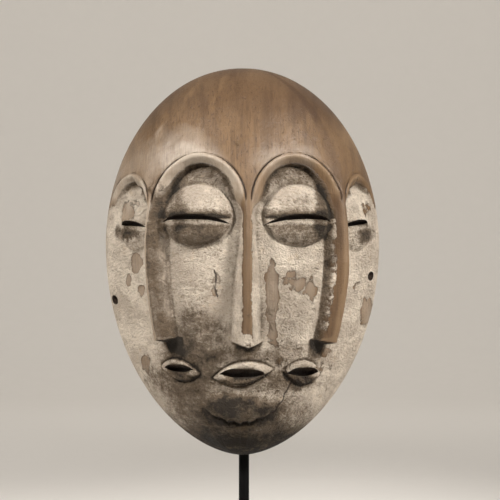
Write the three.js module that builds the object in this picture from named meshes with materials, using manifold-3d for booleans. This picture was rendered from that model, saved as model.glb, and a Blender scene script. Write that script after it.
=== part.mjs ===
// A carved wooden mask of three merged faces, hollow at the back, on a steel display stand.
// Millimetres, +Z up, the faces look towards -Y. The origin is the centre of the base's underside.
import * as THREE from 'three';
import { mergeVertices } from 'three/addons/utils/BufferGeometryUtils.js';
import Module from 'manifold-3d';

const wasm = await Module();
wasm.setup();

// Overall sizes of the mask
const MASK_HEIGHT = 300;
const MASK_WIDTH = 212;
const MASK_DEPTH = 95;
const RIM_THICKNESS = 12;
const WALL_THICKNESS = 11;
const WIDEST_LEVEL = 0.54 * MASK_HEIGHT;

// Overall sizes of the stand
const ROD_DIAMETER = 8;
const BASE_WIDTH = 140;
const BASE_DEPTH = 120;
const BASE_THICKNESS = 10;
const BASE_CORNER_RADIUS = 3;
const BASE_EDGE_BEVEL = 0.8;
const SOCKET_DEPTH = 7;
const FIT_CLEARANCE = 0.3;
const CHIN_CLEARANCE = 75;
const CROSSBAR_DIAMETER = 6;
const CROSSBAR_HALF_SPAN = 32;
const CROSSBAR_REACH = 28;
const CROSSBAR_CLEARANCE = 0.8;
const ROD_BEND_RISE = 60;
const BAR_SIDES = 10;

// Where the mask and rod stand over the base
const RIM_PLANE_Y = 30;
const MASK_CENTRE_X = -1.2;

// The carved relief: angles in degrees round the mask from its middle, levels as shares of its height
const FACE_TURN = 2.8;
const NOSE_ANGLE = 45.7;
const CENTRE_CREST = 1.1;
const SIDE_CREST = 0.8;
const NOSE_BOTTOM = 0.29 * MASK_HEIGHT;
const NOSE_UNDERSIDE = 2;
const FACE_RECESS = 11.5;
const RECESS_START = 0.11 * MASK_HEIGHT;
const BROW_FOOT = 0.655 * MASK_HEIGHT;
const INNER_BROW_RISE = 0.12 * MASK_HEIGHT;
const OUTER_BROW_FOOT = 0.635 * MASK_HEIGHT;
const OUTER_BROW_RISE = 0.09 * MASK_HEIGHT;
const OUTER_SOCKET_END = 84;
const BROW_ROLL = 11;
const EYE_LEVEL = 0.61 * MASK_HEIGHT;
const INNER_EYE = { angle: 24.6, halfAngle: 18, level: 0.617 * MASK_HEIGHT, halfHeight: 0.078 * MASK_HEIGHT, rise: 9.5 };
const OUTER_EYE = { angle: 61, halfAngle: 11.5, level: 0.598 * MASK_HEIGHT, halfHeight: 0.072 * MASK_HEIGHT, rise: 7 };
const LIPS = [
  { angle: 0.3, level: 0.22 * MASK_HEIGHT, halfWidth: 26.5, halfHeight: 8.8, rise: 6, tilt: 0.13 },
  { angle: -38.3, level: 0.227 * MASK_HEIGHT, halfWidth: 21, halfHeight: 8.2, rise: 4.5, tilt: -0.11 },
  { angle: 38, level: 0.221 * MASK_HEIGHT, halfWidth: 22, halfHeight: 9.2, rise: 4.5, tilt: -0.08 },
];
const CHIN_LEDGE = { angle: -1.5, level: 0.094 * MASK_HEIGHT, rise: 4.6, halfWidth: 26, sweep: 9 };

// Openings cut right through the wall; each one slopes down as it goes in
const CUT_SLOPE = 24;
const CUT_LENGTH = 50;
const CUT_REACH = 36;
const CUTS = [
  { angle: -21.4, level: EYE_LEVEL, halfWidth: 27, over: 2.2, under: 1.2, fullness: 3 },
  { angle: 26.6, level: EYE_LEVEL, halfWidth: 27, over: 2.2, under: 1.2, fullness: 3 },
  { angle: -58, level: 0.595 * MASK_HEIGHT, halfWidth: 15, over: 2.2, under: 1.2, fullness: 3 },
  { angle: 61, level: 0.597 * MASK_HEIGHT, halfWidth: 15, over: 2.2, under: 1.2, fullness: 3 },
  { angle: 0.3, level: 0.219 * MASK_HEIGHT, halfWidth: 17.8, over: 2.7, under: 2.2, fullness: 3 },
  { angle: -37.7, level: 0.23 * MASK_HEIGHT, halfWidth: 13, over: 2.2, under: 1.8, fullness: 3 },
  { angle: 36.9, level: 0.222 * MASK_HEIGHT, halfWidth: 14.5, over: 2.9, under: 2.2, fullness: 3 },
];
const CORD_HOLE_DIAMETER = 7;
const CORD_HOLES = [
  { side: -1, angle: 77.7, level: 0.402 * MASK_HEIGHT },
  { side: 1, angle: 75.8, level: 0.463 * MASK_HEIGHT },
];

// Colours of the limed wood and the blackened steel
const WOOD_COLOUR = 0xb6a392;
const STEEL_COLOUR = 0x101010;

const RADIANS = Math.PI / 180;
const ARC_PER_DEGREE = ((MASK_WIDTH / 2 + MASK_DEPTH) / 2) * RADIANS;

function clamp(value, low = 0, high = 1) {
  return Math.min(high, Math.max(low, value));
}

function smooth(from, to, value) {
  const t = clamp((value - from) / (to - from));
  return t * t * (3 - 2 * t);
}

function mix(a, b, share) {
  return a + (b - a) * share;
}

// Half width and depth of an egg between two levels, at a height within it
function eggSection(z, low, high, halfWidth, depth) {
  const upper = z > WIDEST_LEVEL;
  const reach = upper ? high - WIDEST_LEVEL : WIDEST_LEVEL - low;
  const share = clamp(Math.abs(z - WIDEST_LEVEL) / reach);
  const left = Math.max(0, 1 - share * share);
  return {
    halfWidth: halfWidth * left ** (upper ? 0.49 : 0.57),
    depth: depth * left ** (upper ? 0.5 : 0.52),
  };
}

// How far inside a brow and nose bay a point lies, in millimetres, negative outside it
function bayDistance(faceAngle, z, centre, halfSpan, foot, rise) {
  const across = (faceAngle - centre) / halfSpan;
  const up = Math.max(0, z - foot) / rise;
  return (1 - Math.hypot(across, up)) * halfSpan * ARC_PER_DEGREE;
}

// Share of the full recess under the brows and beside the noses: 0 on the crests, 1 on the cheeks
function recessShare(faceAngle, z) {
  const side = Math.abs(faceAngle);
  const crest = CENTRE_CREST + 0.6 * (1 - smooth(NOSE_BOTTOM, NOSE_BOTTOM + 28, z));
  const browShare = smooth(BROW_FOOT - 12, BROW_FOOT + 8, z);
  let bay;
  let flank;
  if (side < NOSE_ANGLE) {
    const end = NOSE_ANGLE - SIDE_CREST;
    bay = bayDistance(side, z, (crest + end) / 2, (end - crest) / 2, BROW_FOOT, INNER_BROW_RISE);
    const lowShare = 1 - smooth(NOSE_BOTTOM + 15, BROW_FOOT, z);
    const centreFlank = mix(3.5, 9.5, lowShare);
    const sideFlank = mix(6.5, 11.5, 1 - smooth(EYE_LEVEL - 20, BROW_FOOT + 5, z));
    flank = mix(centreFlank, sideFlank, smooth(12, 34, side));
  } else {
    const start = NOSE_ANGLE + SIDE_CREST;
    const halfSpan = side < OUTER_EYE.angle ? OUTER_EYE.angle - start : OUTER_SOCKET_END - OUTER_EYE.angle;
    bay = bayDistance(side, z, OUTER_EYE.angle, halfSpan, OUTER_BROW_FOOT, OUTER_BROW_RISE);
    flank = 7;
  }
  const t = clamp(bay / mix(flank, BROW_ROLL, browShare));
  const roll = 1 - Math.sqrt(1 - t * t * 0.98);
  return mix(t, clamp(roll * 1.15), browShare * 0.7);
}

// Height of a rounded mound over an ellipse, 0 outside it
function mound(across, up, fullness) {
  const left = 1 - across * across - up * up;
  return left > 0 ? left ** fullness : 0;
}

function eyeRise(faceAngle, z, eye) {
  const across = (Math.abs(faceAngle) - eye.angle) / eye.halfAngle;
  const up = (z - eye.level) / eye.halfHeight;
  return eye.rise * mound(across, up, 0.55);
}

// Lips are a mound over a lens with pointed ends
function lipRise(angle, z, lip) {
  const offset = (angle - lip.angle) * ARC_PER_DEGREE * 0.86;
  const across = offset / lip.halfWidth;
  const up = (z - lip.level - lip.tilt * offset) / lip.halfHeight;
  const left = (1 - across * across) ** 2 - up * up;
  return Math.abs(across) < 1 && left > 0 ? lip.rise * left ** 0.5 : 0;
}

function chinRise(angle, z) {
  const across = ((angle - CHIN_LEDGE.angle) * ARC_PER_DEGREE * 0.62) / CHIN_LEDGE.halfWidth;
  const edge = CHIN_LEDGE.level + CHIN_LEDGE.sweep * across * across;
  const fade = 1 - smooth(0.7, 1.1, Math.abs(across));
  return CHIN_LEDGE.rise * fade * smooth(edge - 1, edge + 1.5, z) * (1 - smooth(edge + 6, edge + 26, z));
}

// Height of the carving over the plain egg, at an angle from the front and a level
function relief(angle, z) {
  const faceAngle = angle - FACE_TURN;
  const noses = smooth(NOSE_BOTTOM - NOSE_UNDERSIDE, NOSE_BOTTOM, z);
  const rimFade = 1 - smooth(56, 85, Math.abs(angle));
  const depth = FACE_RECESS * clamp((z - RECESS_START) / (NOSE_BOTTOM - RECESS_START)) * rimFade;
  const browTop = BROW_FOOT + INNER_BROW_RISE;
  const inFaces = z < browTop + 1 ? mix(1, recessShare(faceAngle, z), noses) : 0;
  const tipRise = noses * (1 - smooth(NOSE_BOTTOM, BROW_FOOT, z)) * (1 - inFaces);
  let height = -depth * inFaces + tipRise * (Math.abs(faceAngle) < 20 ? 4 : 1.5) * rimFade;
  height += (eyeRise(faceAngle, z, INNER_EYE) + eyeRise(faceAngle, z, OUTER_EYE) * rimFade) * inFaces;
  for (const lip of LIPS) {
    height += lipRise(angle, z, lip);
  }
  return height + chinRise(angle, z);
}

function outerPoint(angle, z) {
  const { halfWidth, depth } = eggSection(z, 0, MASK_HEIGHT, MASK_WIDTH / 2, MASK_DEPTH);
  const tall = Math.sin(Math.PI * clamp(z / MASK_HEIGHT));
  const height = tall > 0.02 ? relief(angle, z) : 0;
  const turn = angle * RADIANS;
  return new THREE.Vector3((halfWidth + height) * Math.sin(turn), -(depth + height) * Math.cos(turn), z);
}

// The hollow is a smaller egg; its section narrows towards the front to keep an even wall
function innerPoint(angle, z) {
  const inside = MASK_DEPTH - FACE_RECESS - WALL_THICKNESS;
  const low = RIM_THICKNESS;
  const high = MASK_HEIGHT - RIM_THICKNESS;
  const level = mix(low, high, z / MASK_HEIGHT);
  const { halfWidth, depth } = eggSection(level, low, high, MASK_WIDTH / 2 - RIM_THICKNESS, inside);
  const turn = angle * RADIANS;
  const forward = Math.max(0, Math.cos(turn)) ** 1.2;
  return new THREE.Vector3(halfWidth * Math.sin(turn), -depth * forward, level);
}

// Stations from a start through marked ends, each stretch cut into equal steps no longer than stated
function stations(start, stretches) {
  const list = [start];
  for (const [end, step] of stretches) {
    const from = list[list.length - 1];
    const count = Math.max(1, Math.round((end - from) / step));
    for (let i = 1; i <= count; i += 1) {
      list.push(from + ((end - from) * i) / count);
    }
  }
  return list;
}

function maskRows() {
  const ends = [
    [0.004, 1], [0.013, 1], [0.03, 1], [0.09, 0.022], [0.12, 0.015], [0.18, 0.025], [0.272, 0.016],
    [(NOSE_BOTTOM - NOSE_UNDERSIDE) / MASK_HEIGHT, 0.02], [NOSE_BOTTOM / MASK_HEIGHT, 1], [0.31, 0.02],
    [0.52, 0.055], [0.58, 0.02], [0.62, 0.012], [0.69, 0.02], [0.78, 0.016], [0.94, 0.03], [0.965, 0.02],
    [0.985, 0.015], [0.995, 0.01], [1, 0.01],
  ];
  return stations(0, ends.map(([end, step]) => [end * MASK_HEIGHT, step * MASK_HEIGHT]));
}

function maskColumns() {
  const half = [
    [-NOSE_ANGLE - 4.5, 4.6], [-NOSE_ANGLE - SIDE_CREST, 4], [-NOSE_ANGLE + SIDE_CREST, 2], [-38, 3.3],
    [-7, 4], [-CENTRE_CREST, 2.7], [CENTRE_CREST, 4], [7, 2.7], [38, 4], [NOSE_ANGLE - SIDE_CREST, 3.3],
    [NOSE_ANGLE + SIDE_CREST, 2], [NOSE_ANGLE + 4.5, 4], [90 - FACE_TURN, 4.6],
  ];
  return stations(-90, half.map(([end, step]) => [end + FACE_TURN, step]));
}

function makeGeometry(points, triangles) {
  const geometry = new THREE.BufferGeometry();
  geometry.setAttribute('position', new THREE.Float32BufferAttribute(points.flatMap((p) => [p.x, p.y, p.z]), 3));
  geometry.setIndex(triangles.flat());
  return geometry;
}

// The closed shell: a carved outside, a plain inside and the flat rim between them
function maskShell() {
  const rows = maskRows();
  const outerColumns = maskColumns();
  const innerColumns = stations(-90, [[90, 10]]);
  const points = [];
  const triangles = [];
  const addGrid = (columns, pointAt) => rows.map((z) => columns.map((angle) => points.push(pointAt(angle, z)) - 1));
  const outer = addGrid(outerColumns, outerPoint);
  const inner = addGrid(innerColumns, innerPoint);
  for (let i = 0; i + 1 < rows.length; i += 1) {
    for (let j = 0; j + 1 < outerColumns.length; j += 1) {
      const [a, b, c, d] = [outer[i][j], outer[i][j + 1], outer[i + 1][j + 1], outer[i + 1][j]];
      const shortAcross = points[a].distanceTo(points[c]) < points[b].distanceTo(points[d]);
      triangles.push(shortAcross ? [a, b, c] : [a, b, d]);
      triangles.push(shortAcross ? [a, c, d] : [b, c, d]);
    }
    for (let j = 0; j + 1 < innerColumns.length; j += 1) {
      triangles.push([inner[i][j], inner[i + 1][j + 1], inner[i][j + 1]]);
      triangles.push([inner[i][j], inner[i + 1][j], inner[i + 1][j + 1]]);
    }
    const lastOuter = outerColumns.length - 1;
    const lastInner = innerColumns.length - 1;
    triangles.push([outer[i][0], outer[i + 1][0], inner[i][0]]);
    triangles.push([outer[i + 1][0], inner[i + 1][0], inner[i][0]]);
    triangles.push([outer[i][lastOuter], inner[i][lastInner], outer[i + 1][lastOuter]]);
    triangles.push([outer[i + 1][lastOuter], inner[i][lastInner], inner[i + 1][lastInner]]);
  }
  return makeGeometry(points, triangles);
}

// Welded copy of a geometry as a manifold-3d solid; triangles that close up to a line are dropped
function toSolid(geometry) {
  const plain = geometry.clone();
  plain.deleteAttribute('normal');
  plain.deleteAttribute('uv');
  const welded = mergeVertices(plain, 1e-4);
  const kept = [];
  for (let i = 0; i < welded.index.count; i += 3) {
    const corners = [welded.index.getX(i), welded.index.getX(i + 1), welded.index.getX(i + 2)];
    if (new Set(corners).size === 3) {
      kept.push(...corners);
    }
  }
  const mesh = new wasm.Mesh({
    numProp: 3,
    vertProperties: new Float32Array(welded.attributes.position.array),
    triVerts: new Uint32Array(kept),
  });
  return new wasm.Manifold(mesh);
}

function fromSolid(solid) {
  const { vertProperties, triVerts } = solid.getMesh();
  const geometry = new THREE.BufferGeometry();
  geometry.setAttribute('position', new THREE.BufferAttribute(new Float32Array(vertProperties), 3));
  geometry.setIndex(new THREE.BufferAttribute(new Uint32Array(triVerts), 1));
  geometry.computeVertexNormals();
  return geometry;
}

// A lens shape with an arched top and a flatter bottom; a higher fullness gives blunter ends
function lensShape({ halfWidth, over, under, fullness }) {
  const segments = 10;
  const shape = new THREE.Shape();
  shape.moveTo(-halfWidth, 0);
  for (let i = 1; i <= segments; i += 1) {
    const across = -1 + (2 * i) / segments;
    shape.lineTo(across * halfWidth, -under * (1 - Math.abs(across) ** fullness));
  }
  for (let i = segments - 1; i > 0; i -= 1) {
    const across = -1 + (2 * i) / segments;
    shape.lineTo(across * halfWidth, over * (1 - Math.abs(across) ** fullness));
  }
  return shape;
}

function openingCutter(cut) {
  const turn = cut.angle * RADIANS;
  const slope = CUT_SLOPE * RADIANS;
  const across = new THREE.Vector3(Math.cos(turn), Math.sin(turn), 0);
  const outward = new THREE.Vector3(Math.sin(turn) * Math.cos(slope), -Math.cos(turn) * Math.cos(slope), Math.sin(slope));
  const up = new THREE.Vector3().crossVectors(outward, across);
  const start = outerPoint(cut.angle, cut.level).addScaledVector(outward, -CUT_REACH);
  const geometry = new THREE.ExtrudeGeometry(lensShape(cut), {
    depth: CUT_LENGTH,
    bevelEnabled: false,
  });
  geometry.applyMatrix4(new THREE.Matrix4().makeBasis(across, up, outward).setPosition(start));
  return toSolid(geometry);
}

function cordHoleCutter({ side, angle, level }) {
  const geometry = new THREE.CylinderGeometry(CORD_HOLE_DIAMETER / 2, CORD_HOLE_DIAMETER / 2, 3 * RIM_THICKNESS, 20);
  geometry.rotateZ(Math.PI / 2);
  const at = outerPoint(side * angle, level);
  geometry.translate(at.x - side * RIM_THICKNESS / 2, at.y, at.z);
  return toSolid(geometry);
}

function buildMask() {
  let solid = toSolid(maskShell());
  for (const cut of CUTS) {
    solid = solid.subtract(openingCutter(cut));
  }
  for (const hole of CORD_HOLES) {
    solid = solid.subtract(cordHoleCutter(hole));
  }
  return fromSolid(solid);
}

// Highest level inside the hollow at a place across and in front of the rim plane
function ceilingLevel(x, y) {
  let low = WIDEST_LEVEL;
  let high = MASK_HEIGHT;
  for (let i = 0; i < 40; i += 1) {
    const middle = (low + high) / 2;
    const widest = innerPoint(90, middle).x;
    const angle = Math.asin(clamp(x / widest, -1, 1)) / RADIANS;
    const inside = Math.abs(x) < widest && -innerPoint(angle, middle).y > -y;
    if (inside) {
      low = middle;
    } else {
      high = middle;
    }
  }
  return mix(RIM_THICKNESS, MASK_HEIGHT - RIM_THICKNESS, low / MASK_HEIGHT);
}

// Middle line of the crossbar, just under the hollow's ceiling
function crossbarCurve() {
  const points = [];
  const count = 8;
  const step = 0.5;
  for (let i = 0; i <= count; i += 1) {
    const x = mix(-CROSSBAR_HALF_SPAN, CROSSBAR_HALF_SPAN, i / count);
    const maskX = x - MASK_CENTRE_X;
    const top = ceilingLevel(maskX, -CROSSBAR_REACH);
    const slopeX = (ceilingLevel(maskX + step, -CROSSBAR_REACH) - top) / step;
    const slopeY = (ceilingLevel(maskX, -CROSSBAR_REACH - step) - top) / -step;
    const down = new THREE.Vector3(slopeX, slopeY, -1).normalize();
    const point = new THREE.Vector3(x, -CROSSBAR_REACH, top);
    points.push(point.addScaledVector(down, CROSSBAR_DIAMETER / 2 + CROSSBAR_CLEARANCE));
  }
  return new THREE.CatmullRomCurve3(points);
}

function roundBar(curve, diameter, steps) {
  const section = new THREE.Shape();
  section.absarc(0, 0, diameter / 2, 0, 2 * Math.PI);
  return toSolid(new THREE.ExtrudeGeometry(section, {
    steps,
    curveSegments: BAR_SIDES,
    bevelEnabled: false,
    extrudePath: curve,
  }));
}

// Middle line of the rod: straight up from its foot, then along the bend. One step covers the straight.
class RodPath extends THREE.Curve {
  constructor(foot, bend, bendSteps) {
    super();
    this.foot = foot;
    this.bend = bend;
    this.bendSteps = bendSteps;
  }

  getPoint(share, target = new THREE.Vector3()) {
    const step = share * (this.bendSteps + 1);
    if (step < 1) {
      return target.lerpVectors(this.foot, this.bend.getPoint(0), step);
    }
    return target.copy(this.bend.getPointAt(clamp((step - 1) / this.bendSteps)));
  }

  getUtoTmapping(share) {
    return share;
  }
}

// Rod and crossbar, welded into one piece: the rod passes behind the chin and bends in at the top
function buildRod(chinLevel) {
  const crossbar = crossbarCurve();
  const meeting = crossbar.getPoint(0.5);
  const back = ROD_DIAMETER / 2 + FIT_CLEARANCE;
  const foot = BASE_THICKNESS - SOCKET_DEPTH + FIT_CLEARANCE - chinLevel;
  const bendStart = new THREE.Vector3(0, back, meeting.z - ROD_BEND_RISE);
  const bendSteps = 12;
  const bend = new THREE.CubicBezierCurve3(
    bendStart,
    new THREE.Vector3(0, back, bendStart.z + ROD_BEND_RISE * 0.5),
    new THREE.Vector3(0, meeting.y, meeting.z - ROD_BEND_RISE * 0.55),
    meeting,
  );
  const path = new RodPath(new THREE.Vector3(0, back, foot), bend, bendSteps);
  const rod = roundBar(path, ROD_DIAMETER, bendSteps + 1);
  return fromSolid(rod.add(roundBar(crossbar, CROSSBAR_DIAMETER, 12)));
}

// Plate with softened edges and a blind hole that the rod stands in
function buildBase() {
  const halfWidth = BASE_WIDTH / 2 - BASE_EDGE_BEVEL;
  const halfDepth = BASE_DEPTH / 2 - BASE_EDGE_BEVEL;
  const radius = BASE_CORNER_RADIUS;
  const outline = new THREE.Shape();
  outline.absarc(halfWidth - radius, halfDepth - radius, radius, 0, Math.PI / 2);
  outline.absarc(radius - halfWidth, halfDepth - radius, radius, Math.PI / 2, Math.PI);
  outline.absarc(radius - halfWidth, radius - halfDepth, radius, Math.PI, 1.5 * Math.PI);
  outline.absarc(halfWidth - radius, radius - halfDepth, radius, 1.5 * Math.PI, 2 * Math.PI);
  const plate = new THREE.ExtrudeGeometry(outline, {
    depth: BASE_THICKNESS - 2 * BASE_EDGE_BEVEL,
    curveSegments: 5,
    bevelEnabled: true,
    bevelSegments: 2,
    bevelSize: BASE_EDGE_BEVEL,
    bevelThickness: BASE_EDGE_BEVEL,
  });
  plate.translate(0, 0, BASE_EDGE_BEVEL);
  const holeRadius = ROD_DIAMETER / 2 + FIT_CLEARANCE;
  const hole = new THREE.CylinderGeometry(holeRadius, holeRadius, SOCKET_DEPTH * 2, BAR_SIDES * 2);
  hole.rotateX(Math.PI / 2);
  hole.translate(0, RIM_PLANE_Y + ROD_DIAMETER / 2 + FIT_CLEARANCE, BASE_THICKNESS);
  return fromSolid(toSolid(plate).subtract(toSolid(hole)));
}

function addPiece(group, name, geometry, color, roughness, metalness) {
  const mesh = new THREE.Mesh(geometry, new THREE.MeshStandardMaterial({ color, roughness, metalness }));
  mesh.name = name;
  group.add(mesh);
  return mesh;
}

const chinLevel = BASE_THICKNESS + CHIN_CLEARANCE;
const object = new THREE.Group();
const mask = addPiece(object, 'mask', buildMask(), WOOD_COLOUR, 0.75, 0);
mask.position.set(MASK_CENTRE_X, RIM_PLANE_Y, chinLevel);
const rod = addPiece(object, 'stand_rod', buildRod(chinLevel), STEEL_COLOUR, 0.5, 0.3);
rod.position.set(0, RIM_PLANE_Y, chinLevel);
addPiece(object, 'stand_base', buildBase(), STEEL_COLOUR, 0.5, 0.3);

export default object;
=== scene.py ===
"""A carved and limed wooden mask of three merged faces, on a blackened steel display stand.

Metres, +Z up, the faces look towards -Y. The origin is the centre of the foot plate's underside.
"""

import math
from collections import namedtuple

import bmesh
import bpy
import numpy as np
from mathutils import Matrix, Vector, noise


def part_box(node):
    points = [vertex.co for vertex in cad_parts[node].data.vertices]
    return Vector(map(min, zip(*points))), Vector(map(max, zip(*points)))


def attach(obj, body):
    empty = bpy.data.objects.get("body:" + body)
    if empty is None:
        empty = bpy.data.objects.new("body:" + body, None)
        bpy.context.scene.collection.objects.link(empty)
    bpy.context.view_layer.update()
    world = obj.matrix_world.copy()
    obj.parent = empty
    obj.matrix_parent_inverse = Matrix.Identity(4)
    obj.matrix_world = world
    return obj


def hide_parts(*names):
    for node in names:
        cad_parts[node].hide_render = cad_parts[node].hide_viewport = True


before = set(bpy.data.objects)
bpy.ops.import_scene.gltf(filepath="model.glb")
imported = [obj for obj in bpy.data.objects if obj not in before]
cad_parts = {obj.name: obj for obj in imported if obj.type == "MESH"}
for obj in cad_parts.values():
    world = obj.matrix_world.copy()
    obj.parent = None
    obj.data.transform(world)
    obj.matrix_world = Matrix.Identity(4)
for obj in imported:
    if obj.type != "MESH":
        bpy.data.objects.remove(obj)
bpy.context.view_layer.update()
MASK_LOW, MASK_HIGH = (Vector(corner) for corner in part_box("mask"))
ROD_LOW = Vector(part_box("stand_rod")[0])
BASE_LOW, BASE_HIGH = (Vector(corner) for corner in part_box("stand_base"))

bl_info = {
    "name": "Carved mask on a stand",
    "version": (1, 0, 0),
    "blender": (4, 5, 0),
    "location": "View3D > Sidebar > Carved mask",
    "description": "Builds a limed wooden mask with merged faces and its steel display stand",
    "category": "Object",
}

MM = 0.001
SIDE_WHITE, LAMP_WHITE, SURROUND_WHITE = "#fffaf5", "#fffaf4", "#efe9e2"
SHARP_CARVING, SHARP_STEEL = math.radians(52), math.radians(35)

# Place and overall size of the mask, in millimetres, taken from the frame
HEIGHT = (MASK_HIGH.z - MASK_LOW.z) / MM
HALF_WIDTH = (MASK_HIGH.x - MASK_LOW.x) / 2 / MM
CENTRE_X = (MASK_HIGH.x + MASK_LOW.x) / 2 / MM
RIM_Y = MASK_HIGH.y / MM
CHIN_Z = MASK_LOW.z / MM
MASK_PLACE = np.array([CENTRE_X, RIM_Y, CHIN_Z])
DEPTH = 95.0
RIM_THICKNESS = 12.0
WALL_THICKNESS = 11.0
WIDEST_LEVEL = 0.54 * HEIGHT
# Roundness of the egg's outline and depth, over and under its widest level
WIDTH_POWERS, DEPTH_POWERS = (0.49, 0.57), (0.5, 0.52)

# The carved relief: angles in degrees round the mask, levels and lengths in millimetres. The bare strip on
# the centre nose lies STRIP_SHIFT beside its crest
FACE_TURN = 2.8
STRIP_SHIFT = 1.0
NOSE_ANGLE = 45.7
CENTRE_CREST = 1.1
SIDE_CREST = 0.8
NOSE_BOTTOM = 0.29 * HEIGHT
NOSE_UNDERSIDE = 1.6
CENTRE_TIP_RISE, SIDE_TIP_RISE = 4.0, 1.5
FACE_RECESS = 11.5
RECESS_START = 0.11 * HEIGHT
BROW_FOOT = 0.655 * HEIGHT
INNER_BROW_RISE = 0.12 * HEIGHT
OUTER_BROW_FOOT = 0.635 * HEIGHT
OUTER_BROW_RISE = 0.09 * HEIGHT
OUTER_SOCKET_END = 84.0
BROW_TOP = BROW_FOOT + INNER_BROW_RISE + 1
BROW_ROLL = 11.0
EYE_LEVEL = 0.61 * HEIGHT
ARC_PER_DEGREE = math.radians((HALF_WIDTH + DEPTH) / 2)
Eye = namedtuple("Eye", "angle half_angle level half_height rise")
INNER_EYE = Eye(24.6, 18.0, 0.617 * HEIGHT, 0.078 * HEIGHT, 9.5)
OUTER_EYE = Eye(61.0, 11.5, 0.598 * HEIGHT, 0.072 * HEIGHT, 7.0)
Lip = namedtuple("Lip", "angle level half_width half_height rise tilt")
LIPS = (
    Lip(0.3, 0.22 * HEIGHT, 26.5, 8.8, 6.0, 0.13),
    Lip(-38.3, 0.227 * HEIGHT, 21.0, 8.2, 4.5, -0.11),
    Lip(38.0, 0.221 * HEIGHT, 22.0, 9.2, 4.5, -0.08),
)
Ledge = namedtuple("Ledge", "angle level rise half_width sweep")
# Share of the mean arc that a degree covers at the mouths and at the chin
LIP_ARC, CHIN_ARC = 0.86, 0.62
CHIN_LEDGE = Ledge(-1.5, 0.094 * HEIGHT, 4.6, 26.0, 9.0)
# Depths of the brow's scored line, the line round the lips and the worn-down brims of the openings
SCORE_DEPTH, LIP_LINE_DEPTH, BRIM_DIP = 1.4, 0.9, 0.8
# Unevenness of knife work: share and wavelength
KNIFE_WORK = ((1.1, 46.0), (0.55, 17.0), (0.22, 6.5))

# Openings through the wall: angle, level, half width, height over and under the middle line,
# bluntness of the ends
CUT_SLOPE = math.radians(24)
CUTS = (
    (-21.4, EYE_LEVEL, 27.0, 2.2, 1.2, 3),
    (26.6, EYE_LEVEL, 27.0, 2.2, 1.2, 3),
    (-58.0, 0.595 * HEIGHT, 15.0, 2.2, 1.2, 3),
    (61.0, 0.597 * HEIGHT, 15.0, 2.2, 1.2, 3),
    (0.3, 0.219 * HEIGHT, 17.8, 2.7, 2.2, 3),
    (-37.7, 0.23 * HEIGHT, 13.0, 2.2, 1.8, 3),
    (36.9, 0.222 * HEIGHT, 14.5, 2.9, 2.2, 3),
)
CUT_BEHIND, CUT_LENGTH, FAR_AWAY = 36.0, 50.0, 99.0
CORD_HOLE_DIAMETER = 7.0
CORD_HOLES = ((-1, 77.7, 0.402 * HEIGHT), (1, 75.8, 0.463 * HEIGHT))


def clamp(value):
    return np.clip(value, 0.0, 1.0)


def smooth(start, end, value):
    t = clamp((value - start) / (end - start))
    return t * t * (3 - 2 * t)


def mix(a, b, share):
    return a + (b - a) * share


def bell(value, width):
    return np.exp(-((value / width) ** 2))


def egg_section(z, low, high, half_width, depth):
    """Half width and depth of an egg between two levels, at heights within it."""
    upper = z > WIDEST_LEVEL
    reach = np.where(upper, high - WIDEST_LEVEL, WIDEST_LEVEL - low)
    left = np.maximum(0.0, 1 - clamp(np.abs(z - WIDEST_LEVEL) / reach) ** 2)
    return half_width * left ** np.where(upper, *WIDTH_POWERS), depth * left ** np.where(upper, *DEPTH_POWERS)


def nose_bottom(face_angle):
    """Level where each nose ends: lowest at its crest, rising along the flanks."""
    side = np.abs(face_angle)
    centre = 0.62 * np.minimum(side, 8.0) - 1.2
    beside = 0.35 * np.clip(NOSE_ANGLE - side, 0.0, 9.0) + np.where(face_angle < 0, 3.5, 1.5)
    return NOSE_BOTTOM + np.where(side < 22, centre * (1 - smooth(8.0, 16.0, side)), beside)


def bay_distance(side, z, centre, half_span, foot, rise):
    """How far inside a brow and nose bay points lie, negative outside it."""
    across = (side - centre) / half_span
    up = np.maximum(0.0, z - foot) / rise
    return (1 - np.hypot(across, up)) * half_span * ARC_PER_DEGREE


def bay_fields(face_angle, z):
    """Distance into the nearest bay and the width of the slope at its edge."""
    side = np.abs(face_angle)
    crest = CENTRE_CREST + 0.6 * (1 - smooth(NOSE_BOTTOM, NOSE_BOTTOM + 28, z))
    crest = crest + 0.5 * (1 - smooth(NOSE_BOTTOM, NOSE_BOTTOM + 12, z))
    end = NOSE_ANGLE - SIDE_CREST
    inner = bay_distance(side, z, (crest + end) / 2, (end - crest) / 2, BROW_FOOT, INNER_BROW_RISE)
    low = 1 - smooth(NOSE_BOTTOM + 15, BROW_FOOT, z)
    centre_flank = mix(3.5, np.where(face_angle < 0, 12.0, 9.5), low)
    side_flank = mix(6.5, 11.5, 1 - smooth(EYE_LEVEL - 20, BROW_FOOT + 5, z))
    inner_flank = mix(centre_flank, side_flank, smooth(12, 34, side))
    start = NOSE_ANGLE + SIDE_CREST
    middle = OUTER_EYE.angle
    half_span = np.where(side < middle, middle - start, OUTER_SOCKET_END - middle)
    outer = bay_distance(side, z, middle, half_span, OUTER_BROW_FOOT, OUTER_BROW_RISE)
    inside = side < NOSE_ANGLE
    return np.where(inside, inner, outer), np.where(inside, inner_flank, 7.0)


def face_place(angle, z):
    """Angle from the middle of the faces, its size, and the distance into the nearest bay."""
    face_angle = angle - FACE_TURN
    return face_angle, np.abs(face_angle), bay_fields(face_angle, z)[0]


def recess_share(face_angle, z):
    """Share of the full recess: 0 on the crests and the forehead, 1 on the cheeks."""
    bay, flank = bay_fields(face_angle, z)
    brow_share = smooth(BROW_FOOT - 12, BROW_FOOT + 8, z)
    t = clamp(bay / mix(flank, BROW_ROLL, brow_share))
    roll = clamp(1.15 * (1 - np.sqrt(1 - 0.98 * t * t)))
    return mix(t, roll, brow_share * 0.7)


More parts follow.
